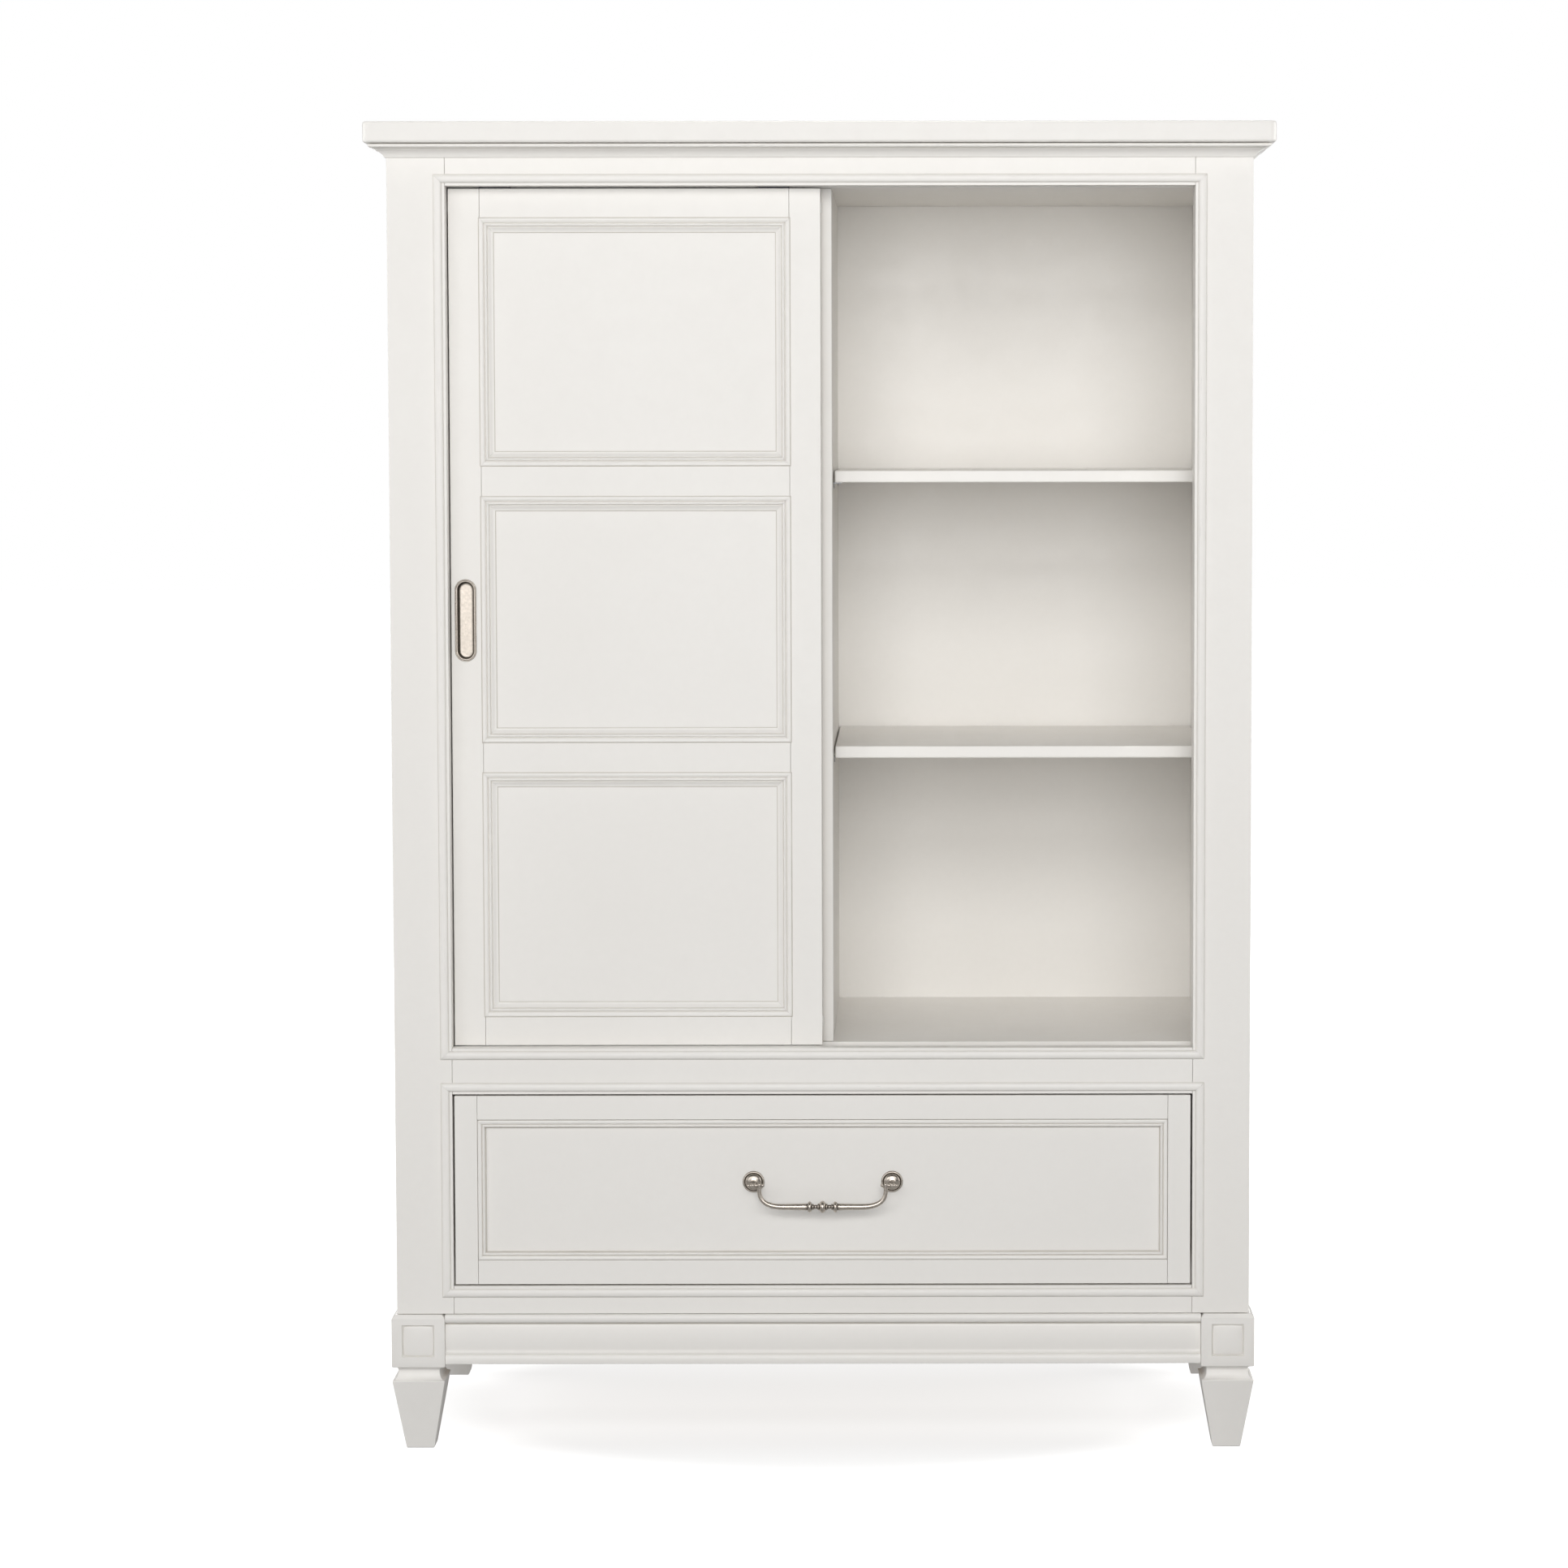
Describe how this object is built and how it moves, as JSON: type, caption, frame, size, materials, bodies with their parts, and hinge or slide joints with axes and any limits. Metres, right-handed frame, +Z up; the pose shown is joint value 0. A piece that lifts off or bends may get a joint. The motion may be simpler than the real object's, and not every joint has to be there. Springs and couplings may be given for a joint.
{
  "type": "armoire",
  "caption": "Free-standing armoire with a sliding panelled door over open shelf bays and a wide drawer with a bail pull, on tapered block feet.",
  "frame": {"origin": "on the floor under the middle of the case, at the centre of the top board's outline", "axes": "+Z up; the front with the door and the drawer faces -Y; +X to the right of somebody looking at the front"},
  "size_m": [1.168, 0.508, 1.726],
  "materials": {
    "paint_white": "satin off-white paint over wood and MDF",
    "paint_inside": "satin off-white paint, inside the case",
    "drawer_wood": "clear satin lacquer",
    "antique_pewter": "antique pewter plating, softly polished on the high spots",
    "track_aluminium": "plain extrusion",
    "runner_zinc": "zinc plated",
    "glide_nylon": "moulded nylon"
  },
  "bodies": {
    "case": {"apron_front": "paint_white", "apron_left": "paint_white", "apron_right": "paint_white", "back_panel": "paint_inside", "bay_floor": "paint_inside", "bottom_rail": "paint_white", "case_runner_left": "runner_zinc", "case_runner_right": "runner_zinc", "centre_divider": "paint_white", "crown_moulding": "paint_white", "door_opening_bead": "paint_white", "door_track": "track_aluminium", "drawer_opening_bead": "paint_white", "leg_front_left": "paint_white", "leg_front_right": "paint_white", "leg_rear_left": "paint_white", "leg_rear_right": "paint_white", "middle_rail": "paint_white", "shelf_lower_left": "paint_inside", "shelf_lower_right": "paint_inside", "shelf_upper_left": "paint_inside", "shelf_upper_right": "paint_inside", "side_panel_left": "paint_white", "side_panel_right": "paint_white", "stile_left": "paint_white", "stile_right": "paint_white", "sub_top": "paint_inside", "top_panel": "paint_white", "top_rail": "paint_white"},
    "door": {"door_guide_strip": "glide_nylon", "door_hanger_left": "glide_nylon", "door_hanger_right": "glide_nylon", "door_moulding_lower": "paint_white", "door_moulding_middle": "paint_white", "door_moulding_upper": "paint_white", "door_panel_lower": "paint_white", "door_panel_middle": "paint_white", "door_panel_upper": "paint_white", "door_rail_bottom": "paint_white", "door_rail_lower": "paint_white", "door_rail_top": "paint_white", "door_rail_upper": "paint_white", "door_stile_left": "paint_white", "door_stile_right": "paint_white", "flush_pull": "antique_pewter"},
    "drawer": {"drawer_back": "drawer_wood", "drawer_bottom": "drawer_wood", "drawer_front_moulding": "paint_white", "drawer_front_panel": "paint_white", "drawer_front_rail_bottom": "paint_white", "drawer_front_rail_top": "paint_white", "drawer_front_stile_left": "paint_white", "drawer_front_stile_right": "paint_white", "drawer_runner_left": "runner_zinc", "drawer_runner_right": "runner_zinc", "drawer_side_left": "drawer_wood", "drawer_side_right": "drawer_wood", "rosette_left": "antique_pewter", "rosette_right": "antique_pewter"},
    "bail": {"bail_handle": "antique_pewter"}
  },
  "joints": [
    {"name": "door_slide", "type": "slide", "parent": "case", "child": "door", "axis": [1, 0, 0], "range_m": [0, 0.481]},
    {"name": "drawer_slide", "type": "slide", "parent": "case", "child": "drawer", "axis": [0, -1, 0], "range_m": [0, 0.36]},
    {"name": "bail_swing", "type": "hinge", "parent": "drawer", "child": "bail", "pos_m": [0, -0.2395, 0.352], "axis": [-1, 0, 0], "range_deg": [0, 90]}
  ]
}
